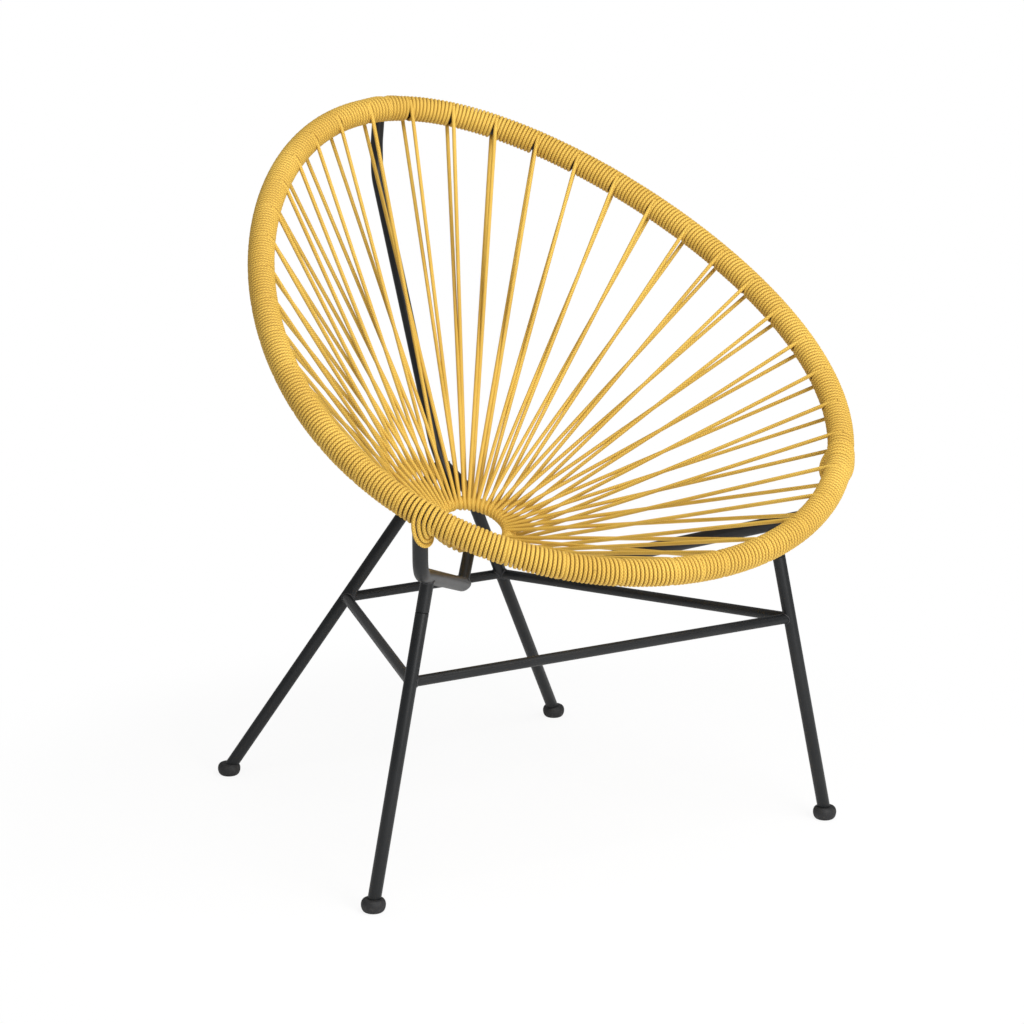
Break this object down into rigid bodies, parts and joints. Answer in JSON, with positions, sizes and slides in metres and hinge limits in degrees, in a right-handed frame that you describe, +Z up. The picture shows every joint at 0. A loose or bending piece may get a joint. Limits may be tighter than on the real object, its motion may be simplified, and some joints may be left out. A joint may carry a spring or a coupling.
{
  "type": "acapulco chair",
  "caption": "Low lounge chair with an egg-shaped cord-wound tube hoop, cords strung down to a hub ring, and a black tube frame on splayed legs with stretchers.",
  "frame": {"origin": "on the floor, under the middle of the chair's box", "axes": "+Z up, the chair faces -Y, +X to the left of a person sitting in it"},
  "size_m": [0.73, 0.7831, 0.872],
  "materials": {
    "frame": "satin black powder coat",
    "foot": "matt black",
    "cord": "mustard yellow braided cord"
  },
  "bodies": {
    "root": {"hoop_tube": "frame", "hub_ring": "frame", "spine_tube": "frame", "front_stretcher": "frame", "rear_stretcher": "frame", "arm_right": "frame", "arm_left": "frame", "hub_strut_right": "frame", "hub_strut_left": "frame", "front_leg_right": "frame", "front_leg_left": "frame", "rear_leg_right": "frame", "rear_leg_left": "frame", "side_stretcher_right": "frame", "side_stretcher_left": "frame", "front_stub_right": "frame", "front_stub_left": "frame", "rear_stub_right": "frame", "rear_stub_left": "frame", "front_foot_right": "foot", "front_foot_left": "foot", "rear_foot_right": "foot", "rear_foot_left": "foot", "cord_panel_1_right": "cord", "cord_panel_1_left": "cord", "cord_panel_2_right": "cord", "cord_panel_2_left": "cord", "cord_panel_3_right": "cord", "cord_panel_3_left": "cord", "cord_panel_4_right": "cord", "cord_panel_4_left": "cord", "cord_panel_5_right": "cord", "cord_panel_5_left": "cord", "cord_panel_6_right": "cord", "cord_panel_6_left": "cord", "cord_panel_7_right": "cord", "cord_panel_7_left": "cord", "cord_cuff_right": "cord", "cord_cuff_left": "cord"}
  },
  "joints": []
}
